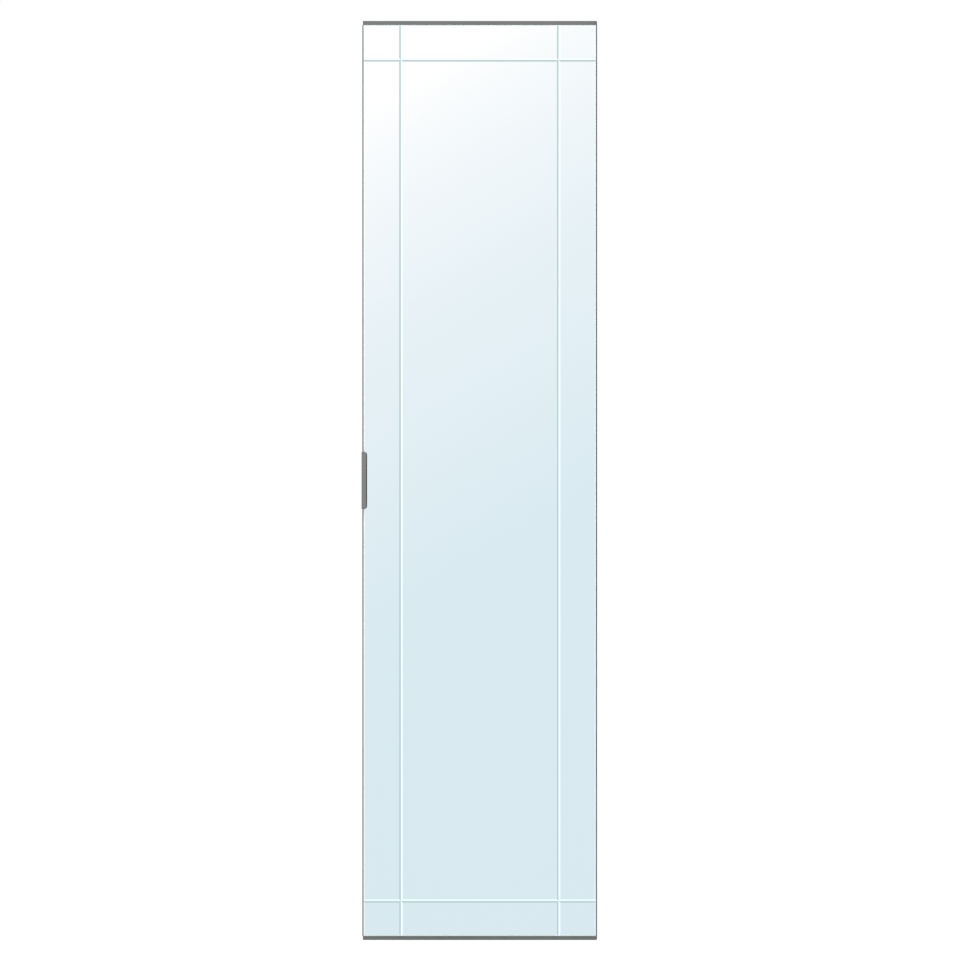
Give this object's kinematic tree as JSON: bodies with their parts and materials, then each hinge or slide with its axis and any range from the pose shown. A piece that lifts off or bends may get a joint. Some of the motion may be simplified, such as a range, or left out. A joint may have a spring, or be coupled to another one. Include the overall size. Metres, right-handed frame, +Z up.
{
  "type": "mirrored wardrobe door",
  "caption": "Tall hinged wardrobe door faced with a V-grooved mirror, in a slim grey metal frame with an edge pull, on concealed cup hinges.",
  "frame": {"origin": "screw centre of the middle mounting plate, on the face that meets the cabinet side", "axes": "+Z up along the door, +X toward the hinge side and into the cabinet side, -Y out of the mirror"},
  "size_m": [0.4986, 0.1096, 1.946],
  "materials": {
    "white_foil_board": "white melamine foil on particleboard",
    "mirror_glass": "silvered float glass, polished",
    "foam_tape": "white foam tape",
    "grey_aluminium": "dark grey anodised, satin",
    "grey_plastic": "grey moulded plastic, fine matt",
    "soft_buffer": "clear soft polyurethane",
    "zinc_screw": "zinc plated",
    "spring_steel": "oiled spring steel",
    "nickel_steel": "nickel plated pressed steel"
  },
  "bodies": {
    "hinge_arms": {"mount_plate_top": "nickel_steel", "mount_plate_middle": "nickel_steel", "mount_plate_bottom": "nickel_steel", "hinge_arm_top": "nickel_steel", "hinge_arm_middle": "nickel_steel", "hinge_arm_bottom": "nickel_steel", "arm_pins_outer": "nickel_steel", "arm_pins_inner": "nickel_steel", "side_screws": "zinc_screw", "depth_screws": "zinc_screw", "closing_springs": "spring_steel", "lever_pins": "nickel_steel"},
    "outer_links": {"outer_link_top": "nickel_steel", "outer_link_middle": "nickel_steel", "outer_link_bottom": "nickel_steel"},
    "door_leaf": {"core_board": "white_foil_board", "mirror_pane": "mirror_glass", "mirror_tape": "foam_tape", "top_rail": "grey_aluminium", "bottom_rail": "grey_aluminium", "rail_caps_handle_side": "grey_plastic", "rail_caps_hinge_side": "grey_plastic", "strip_handle_side": "grey_aluminium", "strip_hinge_side": "grey_aluminium", "rail_screws": "zinc_screw", "strip_screws": "zinc_screw", "pull_handle": "grey_aluminium", "handle_screws": "zinc_screw", "door_bumpers": "soft_buffer", "hinge_cup_top": "nickel_steel", "hinge_cup_middle": "nickel_steel", "hinge_cup_bottom": "nickel_steel", "cup_screws": "zinc_screw", "cup_pins_outer": "nickel_steel", "cup_pins_inner": "nickel_steel"},
    "inner_links": {"inner_link_top": "nickel_steel", "inner_link_middle": "nickel_steel", "inner_link_bottom": "nickel_steel"},
    "release_top": {"release_lever_top": "nickel_steel"},
    "release_middle": {"release_lever_middle": "nickel_steel"},
    "release_bottom": {"release_lever_bottom": "nickel_steel"}
  },
  "joints": [
    {"name": "outer_link_swing", "type": "hinge", "parent": "hinge_arms", "child": "outer_links", "pos_m": [-0.018, -0.03385, 0], "axis": [0, 0, -1], "range_deg": [0, 40]},
    {"name": "door_swing", "type": "hinge", "parent": "outer_links", "child": "door_leaf", "pos_m": [0.00356, -0.0405, 0], "axis": [0, 0, 1], "range_deg": [0, 134.9]},
    {"name": "inner_link_swing", "type": "hinge", "parent": "hinge_arms", "child": "inner_links", "pos_m": [-0.015, -0.044, 0], "axis": [0, 0, -1], "range_deg": [0, 37.2]},
    {"name": "release_top", "type": "hinge", "parent": "hinge_arms", "child": "release_top", "pos_m": [-0.0085, 0.0236, 0.873], "axis": [0, 0, 1], "range_deg": [0, 12], "stiffness_Nm_per_rad": 0.2},
    {"name": "release_middle", "type": "hinge", "parent": "hinge_arms", "child": "release_middle", "pos_m": [-0.0085, 0.0236, 0], "axis": [0, 0, 1], "range_deg": [0, 12], "stiffness_Nm_per_rad": 0.2},
    {"name": "release_bottom", "type": "hinge", "parent": "hinge_arms", "child": "release_bottom", "pos_m": [-0.0085, 0.0236, -0.873], "axis": [0, 0, 1], "range_deg": [0, 12], "stiffness_Nm_per_rad": 0.2}
  ],
  "couplings": [
    {"joint": "outer_link_swing", "follows": "door_swing", "ratio": 0.29578},
    {"joint": "inner_link_swing", "follows": "door_swing", "ratio": 0.27465}
  ]
}
